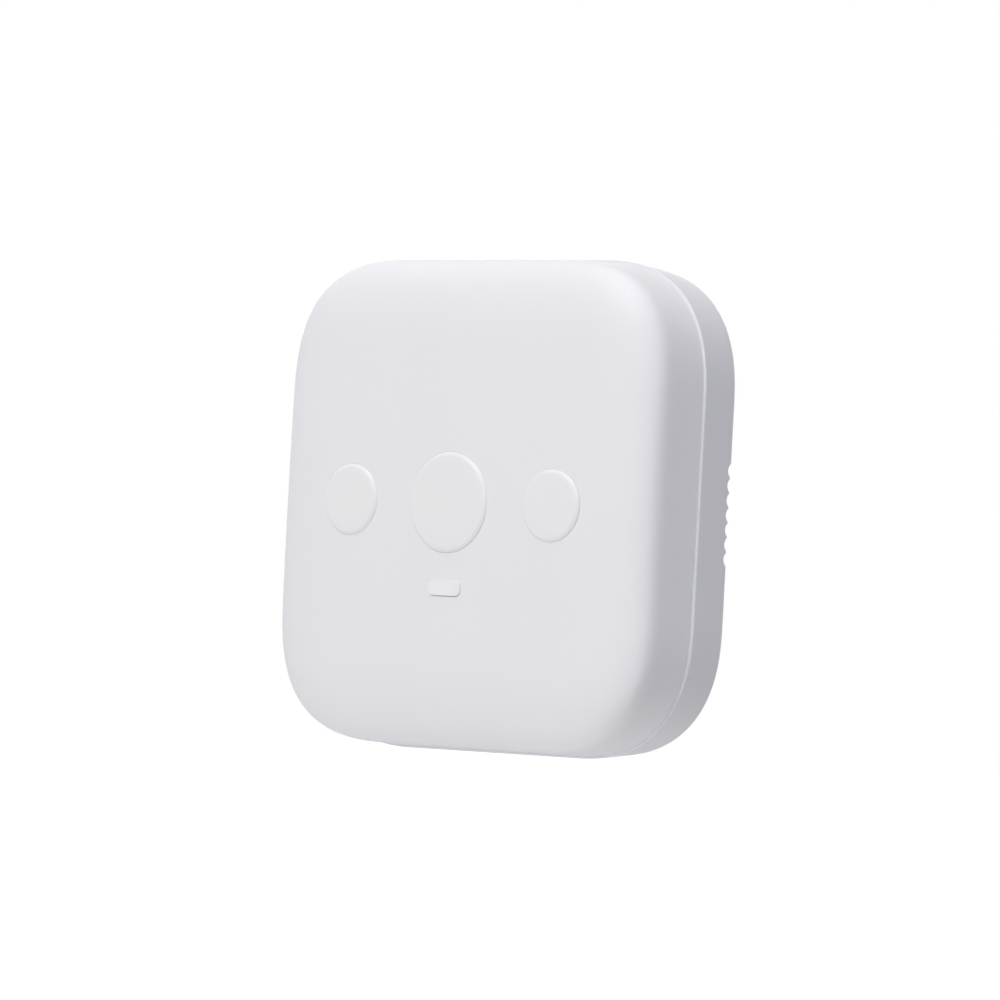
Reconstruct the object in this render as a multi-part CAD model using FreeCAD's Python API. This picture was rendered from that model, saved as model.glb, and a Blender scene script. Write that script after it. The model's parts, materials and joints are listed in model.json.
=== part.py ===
import FreeCAD, Part
import math
import os

Vector = FreeCAD.Vector

# Square remote with three front buttons, as an assembly of its separate pieces.
# Lengths are in millimetres. X is to the right, Z is up and the front looks along -Y.
# The origin is the centre of the flat rear face, and a depth is a distance forward from that face.

# Case outline, seen from the front
case_size = 80.0
corner_radius = 15.2
shoulder_radius = 46.9
shoulder_turn = 15.0

# Case section
rear_depth = 10.8
front_room = 7.0
wall = 2.0
ledge = 0.25
front_draft = 2.9
rear_draft = 5.3
crown_radius = 650.0
front_edge_radius = 6.9
rear_edge_radius = 4.0

# Seam between the two shells
lip_height = 1.6
lip_wall = 0.75
lip_clearance = 0.1

# Finger grooves along both rear side edges
groove_count = 7
groove_pitch = 2.35
groove_radius = 0.98
groove_depth = 0.55

# Buttons
button_pitch = 21.15
button_row_height = -0.15
centre_button_radius = 8.12
side_button_radius = 5.8
button_proud = 0.4
button_edge_radius = 0.4
button_clearance = 0.15
button_travel = 0.5
cap_thickness = 1.3
cap_wall = 1.1
flange_width = 1.0
flange_thickness = 1.0
flange_gap = 0.05
guide_clearance = 0.2
guide_wall = 0.9
guide_height = 2.2
key_width = 1.8
key_reach = 0.7
stem_radius = 1.3
stem_web = 0.9

# Indicator window and its light pipe
window_height = -13.9
window_width = 6.9
window_tall = 2.55
window_corner = 1.0
window_proud = 0.4
window_edge_radius = 0.3
window_clearance = 0.05
pipe_flange_width = 0.8
pipe_flange_thickness = 0.8
pipe_light_gap = 0.3

# Battery cells, their tray and their door
cell_diameter = 10.5
cell_length = 44.5
cell_pitch = 10.9
cell_gap = 0.3
cell_edge_radius = 0.5
nub_radius = 1.9
nub_length = 0.8
tray_wall = 1.2
tray_floor = 1.0
tray_rise = 6.15
cradle_rib_width = 1.0
cradle_rib_height = 1.6
door_thickness = 1.8
door_play = 0.1
door_clearance = 0.15
door_overlap = 4.4
door_lip = 1.6
door_tongue_width = 0.7
door_tongue_thickness = 0.8
door_tongue_end = 6.5
seat_width = 3.8
seat_thickness = 1.2
thumb_dish_width = 17.0
thumb_dish_depth = 0.6
thumb_dish_height = -15.0
ridge_count = 5
ridge_pitch = 2.2
ridge_width = 0.9
ridge_length = 9.0

# Battery contacts
plate_thickness = 0.3
plate_height = 9.0
plate_depth = 8.5
dimple_radius = 1.4
dimple_height = 0.5
contact_gap = 0.05
tab_width = 2.0
tab_slot_clearance = 0.2
spring_wire = 0.5
spring_turns = 3.5
spring_base_radius = 3.4
spring_tip_radius = 2.0
spring_length = 3.7

# Circuit board and what stands on it
board_gap = 1.0
board_thickness = 1.2
board_inset = 3.6
switch_size = 6.0
switch_height = 3.1
switch_edge = 0.3
plunger_radius = 1.7
plunger_height = 1.2
plunger_depth = 0.7
plunger_clearance = 0.05
plunger_well = 0.2
emitter_radius = 1.5
emitter_length = 5.2
emitter_rim_radius = 1.9
emitter_rim = 1.0
emitter_spacing = 14.0
emitter_edge_gap = 2.3
emitter_lift = 0.3
lead_width = 0.5
lead_pitch = 1.27

# Screws
screw_inset = 10.0
boss_tray_gap = 1.1
screw_head_radius = 1.9
screw_head_height = 1.5
screw_shank_radius = 1.1
screw_length = 11.5
screw_seat = 8.0
counterbore_clearance = 0.2
shank_clearance = 0.2
thread_clearance = 0.02
rear_boss_radius = 3.0
front_boss_radius = 2.75
boss_gap = 0.05
pilot_end = 0.5
board_screw_inset = 8.5
board_screw_height = -10.0
board_screw_length = 4.0
board_boss_radius = 2.2

# Length by which a cutting or trimming solid runs past what it cuts
over = 5.0

# Places that follow from the sizes above
half = case_size / 2
seat_depth = door_thickness + door_play
cell_low = seat_depth + cell_gap
cell_axis_depth = cell_low + cell_diameter / 2
tray_inside_depth = cell_low + cell_diameter + cell_gap
tray_depth = tray_inside_depth + tray_floor
board_back = tray_depth + board_gap
board_front = board_back + board_thickness
plunger_top = board_front + switch_height + plunger_height
case_depth = board_front + front_room + wall
tray_low = -half + tray_rise
tray_high = tray_low + 2 * cell_pitch + cell_diameter + 2 * cell_gap
tray_half_width = (cell_length + 2 * plate_thickness + dimple_height + 2 * contact_gap + spring_length) / 2
door_half_width = tray_half_width + door_lip
door_top = tray_high + door_overlap
cell_heights = [tray_high - cell_gap - cell_diameter / 2 - i * cell_pitch for i in range(3)]
screw_reach = tray_half_width + tray_wall + boss_tray_gap + rear_boss_radius
screw_places = [(x * screw_reach, z * (half - screw_inset)) for x in (-1, 1) for z in (-1, 1)]
board_screw_places = [(x * (half - board_screw_inset), board_screw_height) for x in (-1, 1)]
buttons = [
    ("left", -button_pitch, side_button_radius),
    ("centre", 0.0, centre_button_radius),
    ("right", button_pitch, side_button_radius),
]


def box(x_low, x_high, depth_low, depth_high, z_low, z_high):
    """Box between two places along X, two depths and two heights."""
    corner = Vector(x_low, -depth_high, z_low)
    return Part.makeBox(x_high - x_low, depth_high - depth_low, z_high - z_low, corner)


def block(x, z, width, height, depth_low, depth_high):
    """Box centred at a place on the board or the face."""
    return box(x - width / 2, x + width / 2, depth_low, depth_high, z - height / 2, z + height / 2)


def rod(x, z, radius, depth_low, depth_high):
    """Cylinder along the depth of the case."""
    return Part.makeCylinder(radius, depth_high - depth_low, Vector(x, -depth_low, z), Vector(0, -1, 0))


def outline(inset, depth):
    """Soft square inside the case's largest outline, its corners eased by shoulder arcs."""
    turn = math.radians(shoulder_turn)
    easing = 1 - math.cos(turn) + math.sin(turn)
    span = shoulder_radius * easing + corner_radius * (math.cos(turn) - math.sin(turn))
    step = shoulder_radius - corner_radius
    first = (half - shoulder_radius, half - span)
    middle = (first[0] + step * math.cos(turn), first[1] + step * math.sin(turn))
    last = (first[1], first[0])
    right = math.pi / 2
    arcs = [
        (first, shoulder_radius - inset, 0.0, turn),
        (middle, corner_radius - inset, turn, right - turn),
        (last, shoulder_radius - inset, right - turn, right),
    ]

    def place(centre, radius, angle, quarter):
        x = centre[0] + radius * math.cos(angle)
        z = centre[1] + radius * math.sin(angle)
        for _ in range(quarter):
            x, z = -z, x
        return Vector(x, -depth, z)

    edges = []
    for quarter in range(4):
        for centre, radius, start, end in arcs:
            points = [place(centre, radius, a, quarter) for a in (start, (start + end) / 2, end)]
            edges.append(Part.Arc(*points).toShape())
        side_start = edges[-1].Vertexes[-1].Point
        side_end = place(first, shoulder_radius - inset, 0.0, quarter + 1)
        edges.append(Part.LineSegment(side_start, side_end).toShape())
    return Part.Wire(edges)


def drafted(inset, depth_low, depth_high, draft, inset_depth):
    """Solid between two depths whose outline has this inset at one depth and draws in by the draft."""
    slope = math.tan(math.radians(draft))
    low = outline(inset + slope * (depth_low - inset_depth), depth_low)
    high = outline(inset + slope * (depth_high - inset_depth), depth_high)
    return Part.makeLoft([low, high], True, True)


def ring(inset, thickness, depth_low, depth_high):
    """Upright band that follows the case outline."""
    outer = drafted(inset, depth_low, depth_high, 0.0, depth_low)
    inner = drafted(inset + thickness, depth_low - over, depth_high + over, 0.0, depth_low)
    return outer.cut(inner)


def crown(skin):
    """Ball whose surface is the gently domed front, this far inside the outer face."""
    return Part.makeSphere(crown_radius - skin, Vector(0, crown_radius - case_depth, 0))


def face_depth(x, z, skin=0.0):
    """Depth of the domed front, or of a surface inside it, at a place on the face."""
    radius = crown_radius - skin
    return case_depth - crown_radius + math.sqrt(radius ** 2 - x ** 2 - z ** 2)


def front_form(skin, depth_low):
    """Closed form of the front shell, this far inside its outer surface."""
    form = drafted(ledge + skin, depth_low, case_depth + over, front_draft, rear_depth).common(crown(skin))
    domes = [face for face in form.Faces if isinstance(face.Surface, Part.Sphere)]
    return form.makeFillet(front_edge_radius - skin, domes[0].Edges)


def rear_form(skin, depth_high):
    """Closed form of the rear shell, this far inside its outer surface."""
    form = drafted(skin, skin, depth_high, -rear_draft, rear_depth)
    back = max(form.Faces, key=lambda face: face.CenterOfMass.y)
    return form.makeFillet(rear_edge_radius - skin, back.Edges)


def soft_bar(x, z, width, height, corner, depth_low, depth_high):
    """Bar along the depth with a rounded rectangular section."""
    bar = block(x, z, width, height, depth_low, depth_high)
    edges = [e for e in bar.Edges if abs(e.tangentAt(e.FirstParameter).y) > 0.5]
    return bar.makeFillet(corner, edges)


def front_cover():
    """Front shell with its button holes, guide rings, window slot and screw bosses."""
    shell = front_form(0.0, rear_depth).cut(front_form(wall, rear_depth - over))
    rebate_inset = ledge + wall / 2
    rebate_end = rear_depth + lip_height + lip_clearance
    shell = shell.cut(drafted(rebate_inset, rear_depth - over, rebate_end, 0.0, rear_depth))
    middle_skin = front_form(wall / 2, rear_depth)
    additions = []
    for x, z in screw_places:
        additions.append(rod(x, z, front_boss_radius, board_front + boss_gap, case_depth))
    for x, z in board_screw_places:
        additions.append(rod(x, z, board_boss_radius, board_front, case_depth))
    for name, x, radius in buttons:
        inner = radius + flange_width + guide_clearance
        bottom = face_depth(x, button_row_height, wall) - guide_height
        guide = rod(x, button_row_height, inner + guide_wall, bottom, case_depth)
        additions.append(guide.cut(rod(x, button_row_height, inner, bottom - over, case_depth + over)))
    shell = shell.fuse([piece.common(middle_skin) for piece in additions])
    cuts = []
    for name, x, radius in buttons:
        cuts.append(rod(x, button_row_height, radius + button_clearance, rear_depth, case_depth + over))
        slot_half = key_width / 2 + guide_clearance
        slot_low = button_row_height - radius - flange_width - 2 * guide_clearance - guide_wall
        slot_high = face_depth(x, slot_low, wall)
        cuts.append(box(x - slot_half, x + slot_half, rear_depth, slot_high, slot_low, button_row_height))
    slot_width = window_width + 2 * window_clearance
    slot_tall = window_tall + 2 * window_clearance
    slot_corner = window_corner + window_clearance
    cuts.append(soft_bar(0, window_height, slot_width, slot_tall, slot_corner, rear_depth, case_depth + over))
    pilot_radius = screw_shank_radius + thread_clearance
    for x, z in screw_places:
        cuts.append(rod(x, z, pilot_radius, rear_depth, screw_seat + screw_length + pilot_end))
    for x, z in board_screw_places:
        cuts.append(rod(x, z, pilot_radius, rear_depth, board_back + board_screw_length + pilot_end))
    return shell.cut(cuts)


def door_pocket():
    """Space that the door and its tongue fill in the rear wall, with running clearance."""
    side = door_half_width + door_clearance
    pocket = box(-side, side, -over, seat_depth, -case_size, door_top + door_clearance)
    groove_side = door_half_width + door_tongue_width + door_play
    groove_low = door_thickness - door_tongue_thickness - door_play
    groove_top = door_top + door_tongue_width + door_play
    return pocket.fuse(box(-groove_side, groove_side, groove_low, seat_depth, -case_size, groove_top))


def finger_grooves():
    """Row of round scoops across the rounded rear edge on both sides of the case."""
    flank = half - rear_depth * math.tan(math.radians(rear_draft)) - rear_edge_radius
    reach = (rear_edge_radius + groove_radius - groove_depth) / math.sqrt(2)
    length = 4 * rear_edge_radius
    scoops = []
    for side in (-1, 1):
        along = Vector(-side, 1, 0).normalize()
        for i in range(groove_count):
            height = (i - (groove_count - 1) / 2) * groove_pitch
            middle = Vector(side * (flank + reach), -rear_edge_radius + reach, height)
            scoops.append(Part.makeCylinder(groove_radius, length, middle - along * (length / 2), along))
    return scoops


def rear_housing():
    """Rear shell with the battery tray, door seat, seam lip, screw bosses and finger grooves."""
    outer = rear_form(0.0, rear_depth)
    shell = outer.cut(rear_form(wall, rear_depth + over))
    lip_inset = ledge + wall / 2 + lip_clearance
    lip = ring(lip_inset, lip_wall, rear_depth - lip_height, rear_depth + lip_height)
    seat_side = tray_half_width + seat_width
    seat = box(-seat_side, seat_side, wall / 2, seat_depth + seat_thickness, -half, door_top + seat_width)
    tray_side = tray_half_width + tray_wall
    tray = box(-tray_side, tray_side, seat_depth, tray_depth, tray_low - tray_wall, tray_high + tray_wall)
    bosses = [rod(x, z, rear_boss_radius, wall / 2, board_back - boss_gap) for x, z in screw_places]
    shell = shell.fuse([lip, seat.common(outer), tray] + bosses)
    cuts = [door_pocket()]
    cuts.append(box(-tray_half_width, tray_half_width, -over, tray_inside_depth, tray_low, tray_high))
    for x, z in screw_places:
        cuts.append(rod(x, z, screw_head_radius + counterbore_clearance, -over, screw_seat))
        cuts.append(rod(x, z, screw_shank_radius + shank_clearance, screw_seat, board_back + over))
    slot_thick = plate_thickness + tab_slot_clearance
    slot_tall = tab_width + 2 * tab_slot_clearance
    for side, height in ((1, cell_heights[0]), (-1, cell_heights[2])):
        x = side * (tray_half_width - slot_thick / 2)
        cuts.append(block(x, height, slot_thick, slot_tall, tray_inside_depth - over, tray_depth + over))
    shell = shell.cut(cuts + finger_grooves())
    ribs = []
    for upper, lower in zip(cell_heights, cell_heights[1:]):
        middle = (upper + lower) / 2
        rib_low = tray_inside_depth - cradle_rib_height
        rib_length = cell_length - 2 * over
        ribs.append(block(0, middle, rib_length, cradle_rib_width, rib_low, tray_inside_depth))
    return shell.fuse(ribs).removeSplitter()


def battery_door():
    """Sliding door in the lower rear face, with a tongue on three edges and a ribbed thumb dish."""
    side = door_half_width
    plate = rear_form(0.0, rear_depth).common(box(-side, side, 0, door_thickness, -case_size, door_top))
    tongue_side = side + door_tongue_width
    tongue_low = door_thickness - door_tongue_thickness
    tongue_top = door_top + door_tongue_width
    tongue = box(-tongue_side, tongue_side, tongue_low, door_thickness, -half + door_tongue_end, tongue_top)
    dish_radius = ((thumb_dish_width / 2) ** 2 + thumb_dish_depth ** 2) / (2 * thumb_dish_depth)
    dish = Part.makeSphere(dish_radius, Vector(0, dish_radius - thumb_dish_depth, thumb_dish_height))
    door = plate.fuse(tongue).cut(dish)
    ridges = []
    for i in range(ridge_count):
        height = thumb_dish_height + (i - (ridge_count - 1) / 2) * ridge_pitch
        ridges.append(block(0, height, ridge_length, ridge_width, 0, door_thickness / 2))
    return door.fuse(ridges).removeSplitter()


def button(x, radius):
    """Cap with a rounded rim, a retaining flange and a webbed stem down to its switch."""
    z = button_row_height
    flange_low = face_depth(x, z, wall) - flange_gap - flange_thickness
    cap = rod(x, z, radius, flange_low, case_depth + over).common(crown(-button_proud))
    domes = [face for face in cap.Faces if isinstance(face.Surface, Part.Sphere)]
    cap = cap.makeFillet(button_edge_radius, domes[0].Edges)
    flange = rod(x, z, radius + flange_width, flange_low, case_depth)
    key_bottom = z - radius - flange_width - key_reach
    key = box(x - key_width / 2, x + key_width / 2, flange_low, case_depth, key_bottom, z)
    key_top = face_depth(x, key_bottom, wall) - 2 * flange_gap
    key = key.common(box(x - radius, x + radius, 0, key_top, key_bottom, z))
    flange = flange.fuse(key).common(crown(wall + flange_gap))
    hollow_high = face_depth(x, z) + button_proud - cap_thickness
    hollow = rod(x, z, radius - cap_wall, flange_low - over, hollow_high)
    cap = cap.fuse(flange).cut(hollow)
    inside = radius - cap_wall / 2
    stem = rod(x, z, stem_radius, plunger_top, hollow_high)
    webs = [
        block(x, z, 2 * inside, stem_web, flange_low, hollow_high),
        block(x, z, stem_web, 2 * inside, flange_low, hollow_high),
    ]
    return cap.fuse([stem] + webs).removeSplitter()


def switch_body(x):
    """Square tactile switch with a round well for its plunger."""
    top = board_front + switch_height
    body = block(x, button_row_height, switch_size, switch_size, board_front, top)
    upper = [e for e in body.Edges if e.BoundBox.YMax < -top + 0.01]
    body = body.makeChamfer(switch_edge, upper)
    well_low = top - plunger_depth - button_travel - plunger_well
    return body.cut(rod(x, button_row_height, plunger_radius + plunger_clearance, well_low, top + over))


def switch_plunger(x):
    """Round plunger that the button's stem rests on."""
    top = plunger_top
    return rod(x, button_row_height, plunger_radius, board_front + switch_height - plunger_depth, top)


def light_pipe():
    """Clear moulded pipe whose raised tip is the indicator window."""
    foot = board_front + status_led_height + pipe_light_gap
    corner = window_corner
    pipe = soft_bar(0, window_height, window_width, window_tall, corner, foot, case_depth + over)
    pipe = pipe.common(crown(-window_proud))
    domes = [face for face in pipe.Faces if isinstance(face.Surface, Part.Sphere)]
    pipe = pipe.makeFillet(window_edge_radius, domes[0].Edges)
    flange_high = face_depth(0, window_height, wall)
    width = window_width + 2 * pipe_flange_width
    tall = window_tall + 2 * pipe_flange_width
    flange = soft_bar(0, window_height, width, tall, corner, flange_high - pipe_flange_thickness, case_depth)
    return pipe.fuse(flange.common(crown(wall + flange_gap))).removeSplitter()


def circuit_board():
    """Board that follows the case outline, with its screw holes."""
    board = drafted(board_inset, board_back, board_front, 0.0, board_back)
    hole = screw_shank_radius + shank_clearance
    holes = [rod(x, z, hole, board_back - over, board_front + over) for x, z in screw_places + board_screw_places]
    return board.cut(holes)


def screw(x, z, seat, length):
    """Pan-head screw driven from the rear, its head seated at a depth."""
    head = rod(x, z, screw_head_radius, seat - screw_head_height, seat)
    rim = [e for e in head.Edges if e.BoundBox.YMin > -seat + screw_head_height / 2]
    head = head.makeFillet(screw_head_height / 2, rim)
    return head.fuse(rod(x, z, screw_shank_radius, seat, seat + length)).removeSplitter()


def battery_cell(height, side):
    """Cylindrical cell along X with its raised terminal towards one side."""
    tip = tray_half_width - plate_thickness - dimple_height - contact_gap
    along = Vector(side, 0, 0)
    base = Vector(side * (tip - cell_length), -cell_axis_depth, height)
    body = Part.makeCylinder(cell_diameter / 2, cell_length - nub_length, base, along)
    rims = [e for e in body.Edges if isinstance(e.Curve, Part.Circle)]
    body = body.makeFillet(cell_edge_radius, rims)
    return body.fuse(Part.makeCylinder(nub_radius, cell_length, base, along)).removeSplitter()


def contact_plate(side, heights, bumps, tab_at):
    """Sprung-steel plate on one end wall of the tray, with dimples and, if wanted, a solder tab."""
    face = tray_half_width - plate_thickness
    x_low = min(side * face, side * tray_half_width)
    low = min(heights) - plate_height / 2
    high = max(heights) + plate_height / 2
    middle = cell_axis_depth
    plate = box(x_low, x_low + plate_thickness, middle - plate_depth / 2, middle + plate_depth / 2, low, high)
    ball_radius = (dimple_radius ** 2 + dimple_height ** 2) / (2 * dimple_height)
    additions = []
    for height in bumps:
        centre = Vector(side * (face - dimple_height + ball_radius), -middle, height)
        ball = Part.makeSphere(ball_radius, centre)
        room = box(-tray_half_width, tray_half_width, 0, tray_depth, height - over, height + over)
        additions.append(ball.common(room))
    if tab_at is not None:
        tab_low = tab_at - tab_width / 2
        additions.append(box(x_low, x_low + plate_thickness, middle, board_back, tab_low, tab_low + tab_width))
    return plate.fuse(additions).removeSplitter()


def spring_path(height, side):
    """Points and directions of the cone spring's wire, a quarter turn apart."""
    count = int(round(4 * spring_turns))
    start = tray_half_width - plate_thickness - spring_wire / 2 - contact_gap
    climb = (spring_length - spring_wire) / (4 * spring_turns)
    shrink = (spring_base_radius - spring_tip_radius) / (4 * spring_turns)
    path = []
    for i in range(count + 1):
        angle = i * math.pi / 2
        radius = spring_base_radius - shrink * i
        out = Vector(0, -math.cos(angle), math.sin(angle))
        round_way = Vector(0, math.sin(angle), math.cos(angle))
        point = Vector(side * (start - climb * i), -cell_axis_depth, height) + out * radius
        way = round_way * (radius * math.pi / 2) - out * shrink - Vector(side * climb, 0, 0)
        path.append((point, way.normalize()))
    return path


def tangent_arcs(start, start_way, end, end_way):
    """Two arcs that leave one point and reach another in the given directions."""
    chord = end - start
    ways = start_way + end_way
    spread = 2 * (1 - start_way.dot(end_way))
    reach = (math.sqrt(chord.dot(ways) ** 2 + spread * chord.dot(chord)) - chord.dot(ways)) / spread
    corners = (start + start_way * reach, end - end_way * reach)
    joint = (corners[0] + corners[1]) * 0.5
    arcs = []
    for first, corner, second in ((start, corners[0], joint), (joint, corners[1], end)):
        middle = (first + second) * 0.5
        lean = (middle - first).Length / (corner - first).Length
        crest = middle + (corner - middle) * (lean / (1 + lean))
        arcs.append(Part.Arc(first, crest, second).toShape())
    return arcs


def contact_spring(height, side):
    """Cone spring of one unbroken wire between a contact plate and a cell's flat end."""
    path = spring_path(height, side)
    edges = []
    for (start, start_way), (end, end_way) in zip(path, path[1:]):
        edges.extend(tangent_arcs(start, start_way, end, end_way))
    section = Part.Wire(Part.makeCircle(spring_wire / 2, path[0][0], path[0][1]))
    pipe = Part.BRepOffsetAPI.MakePipeShell(Part.Wire(edges))
    pipe.add(section)
    pipe.build()
    pipe.makeSolid()
    return pipe.shape()


def spring_self_gap():
    """Least space between neighbouring turns of the spring's wire."""
    path = spring_path(0.0, 1)
    turns = zip(path, path[4:])
    return min((upper[0] - lower[0]).Length for lower, upper in turns) - spring_wire


def lying_emitter(x):
    """Round-nosed infrared lamp lying on the board and looking out of the top edge."""
    depth = board_front + emitter_lift + emitter_rim_radius
    low = half - board_inset - emitter_edge_gap - emitter_length + emitter_radius
    up = Vector(0, 0, 1)
    rim = Part.makeCylinder(emitter_rim_radius, emitter_rim, Vector(x, -depth, low), up)
    body = Part.makeCylinder(emitter_radius, emitter_length - emitter_radius, Vector(x, -depth, low), up)
    nose = Part.makeSphere(emitter_radius, Vector(x, -depth, low + emitter_length - emitter_radius))
    leads = []
    for side in (-1, 1):
        lead_x = x + side * lead_pitch
        leads.append(block(lead_x, low - lead_width, lead_width, lead_width, board_front, depth))
        run = block(lead_x, low - lead_width / 4, lead_width, 1.5 * lead_width, depth - lead_width, depth)
        leads.append(run)
    return rim.fuse([body, nose] + leads).removeSplitter()


def standing_emitter(x, z):
    """Round-nosed infrared lamp standing on the board and looking forward."""
    nose_depth = board_front + emitter_length - emitter_radius
    rim = rod(x, z, emitter_rim_radius, board_front, board_front + emitter_rim)
    nose = Part.makeSphere(emitter_radius, Vector(x, -nose_depth, z))
    return rim.fuse([rod(x, z, emitter_radius, board_front, nose_depth), nose]).removeSplitter()


# Small board parts. An inset is the distance of a part's middle in from the case's sides.
status_led_size = (3.2, 2.8)
status_led_height = 1.9
receiver_inset = (18.0, 14.0)
receiver_size = (5.6, 5.2)
receiver_height = 3.0
receiver_lens_radius = 1.9
radio_inset = (18.5, 21.5)
radio_size = (17.0, 13.0)
radio_height = 0.8
shield_size = (12.0, 10.5)
shield_height = 2.2
controller_inset = (18.0, 24.0)
controller_size = (7.0, 7.0)
controller_height = 0.9
memory_inset = (27.5, 23.5)
memory_size = (5.0, 4.0)
memory_height = 1.5
crystal_inset = (9.5, 24.0)
crystal_size = (3.2, 5.0)
crystal_height = 1.1
capacitor_inset = (27.0, 16.0)
capacitor_radius = 3.15
capacitor_height = 5.2
capacitor_foot = (6.6, 6.6)
capacitor_foot_height = 0.6
driver_size = (1.4, 2.9)
driver_height = 1.1
driver_inset = (32.5, 15.0)
driver_pitch = 5.0
driver_count = 3
chip_size = (2.0, 1.25)
chip_height = 0.6
chip_rows = 2
chip_columns = 6
chip_pitch = (3.6, 3.2)
chip_inset = (17.0, 14.5)
front_emitter_inset = (38.5, 16.0)


def from_corner(inset, side_x, side_z):
    """Place on the board at an inset from two sides of the case."""
    return (side_x * (half - inset[0]), side_z * (half - inset[1]))


def on_board(place, size, height, base=0.0):
    """Flat component on the front of the board."""
    low = board_front + base
    return block(place[0], place[1], size[0], size[1], low, low + height)


def ir_receiver():
    """Infrared receiver block with a round lens that looks forward."""
    place = from_corner(receiver_inset, 1, 1)
    body = on_board(place, receiver_size, receiver_height)
    centre = Vector(place[0], -board_front - receiver_height, place[1])
    return body.fuse(Part.makeSphere(receiver_lens_radius, centre)).removeSplitter()


def reservoir_capacitor():
    """Upright can on a square foot."""
    x, z = from_corner(capacitor_inset, 1, -1)
    foot = on_board((x, z), capacitor_foot, capacitor_foot_height)
    can = rod(x, z, capacitor_radius, board_front, board_front + capacitor_height)
    return foot.fuse(can).removeSplitter()


def emitter_drivers():
    """Column of transistors that switch the infrared lamps."""
    x, z = from_corner(driver_inset, -1, 1)
    return Part.makeCompound(
        [on_board((x, z - i * driver_pitch), driver_size, driver_height) for i in range(driver_count)]
    )


def chip_parts():
    """Grid of small resistors and capacitors low on the board."""
    x, z = from_corner(chip_inset, -1, -1)
    chips = []
    for row in range(chip_rows):
        for column in range(chip_columns):
            place = (x + column * chip_pitch[0], z + row * chip_pitch[1])
            chips.append(on_board(place, chip_size, chip_height))
    return Part.makeCompound(chips)


radio_place = from_corner(radio_inset, -1, 1)
controller_place = from_corner(controller_inset, 1, 1)
memory_place = from_corner(memory_inset, 1, 1)
crystal_place = from_corner(crystal_inset, 1, 1)


pieces = {
    "front_cover": front_cover(),
    "rear_housing": rear_housing(),
    "battery_door": battery_door(),
    "indicator_light_pipe": light_pipe(),
    "circuit_board": circuit_board(),
    "status_led": on_board((0.0, window_height), status_led_size, status_led_height),
    "ir_emitter_left": lying_emitter(-emitter_spacing),
    "ir_emitter_right": lying_emitter(emitter_spacing),
    "ir_emitter_front": standing_emitter(*from_corner(front_emitter_inset, 1, 1)),
    "ir_receiver": ir_receiver(),
    "radio_module": on_board(radio_place, radio_size, radio_height),
    "radio_shield": on_board(radio_place, shield_size, shield_height, radio_height),
    "microcontroller": on_board(controller_place, controller_size, controller_height),
    "memory_chip": on_board(memory_place, memory_size, memory_height),
    "crystal": on_board(crystal_place, crystal_size, crystal_height),
    "reservoir_capacitor": reservoir_capacitor(),
    "emitter_drivers": emitter_drivers(),
    "chip_parts": chip_parts(),
    "terminal_positive": contact_plate(1, cell_heights[:1], cell_heights[:1], cell_heights[0]),
    "bridge_plate_left": contact_plate(-1, cell_heights[:2], cell_heights[1:2], None),
    "bridge_plate_right": contact_plate(1, cell_heights[1:], cell_heights[2:], None),
    "terminal_negative": contact_plate(-1, cell_heights[2:], [], cell_heights[2]),
    "housing_screws": Part.makeCompound([screw(x, z, screw_seat, screw_length) for x, z in screw_places]),
    "board_screws": Part.makeCompound(
        [screw(x, z, board_back, board_screw_length) for x, z in board_screw_places]
    ),
}
for name, x, radius in buttons:
    pieces["button_" + name] = button(x, radius)
    pieces["switch_body_" + name] = switch_body(x)
    pieces["switch_plunger_" + name] = switch_plunger(x)
for number, height in enumerate(cell_heights, 1):
    terminal_side = 1 if number % 2 else -1
    pieces["battery_cell_" + str(number)] = battery_cell(height, terminal_side)
    pieces["contact_spring_" + str(number)] = contact_spring(height, -terminal_side)

print("least gap between turns of a contact spring", round(spring_self_gap(), 3), "mm")
os.makedirs("parts", exist_ok=True)
for name, shape in pieces.items():
    shape.exportStep("parts/" + name + ".step")
print(len(pieces), "nodes written")
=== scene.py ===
import json
import math

import bmesh
import bpy
from mathutils import Matrix, Vector


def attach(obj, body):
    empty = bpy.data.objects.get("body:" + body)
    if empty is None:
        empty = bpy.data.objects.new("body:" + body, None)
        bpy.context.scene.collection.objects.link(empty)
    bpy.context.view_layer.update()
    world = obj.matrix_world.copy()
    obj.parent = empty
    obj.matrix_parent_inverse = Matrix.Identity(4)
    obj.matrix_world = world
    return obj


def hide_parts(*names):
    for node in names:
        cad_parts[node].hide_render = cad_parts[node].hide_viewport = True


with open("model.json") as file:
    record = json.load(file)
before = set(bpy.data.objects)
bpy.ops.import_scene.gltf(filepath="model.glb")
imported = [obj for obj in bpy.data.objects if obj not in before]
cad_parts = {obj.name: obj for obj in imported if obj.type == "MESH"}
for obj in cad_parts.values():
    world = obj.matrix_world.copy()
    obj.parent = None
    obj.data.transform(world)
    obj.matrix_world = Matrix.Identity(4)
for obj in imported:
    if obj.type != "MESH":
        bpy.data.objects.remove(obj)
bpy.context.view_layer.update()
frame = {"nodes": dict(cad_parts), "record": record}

# Square infrared remote with three round buttons, put together from the rear shell forwards.
# Lengths are in metres. X is to the right, Z is up, the front looks along -Y, and a depth is
# a distance forward from the flat rear face.


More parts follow.
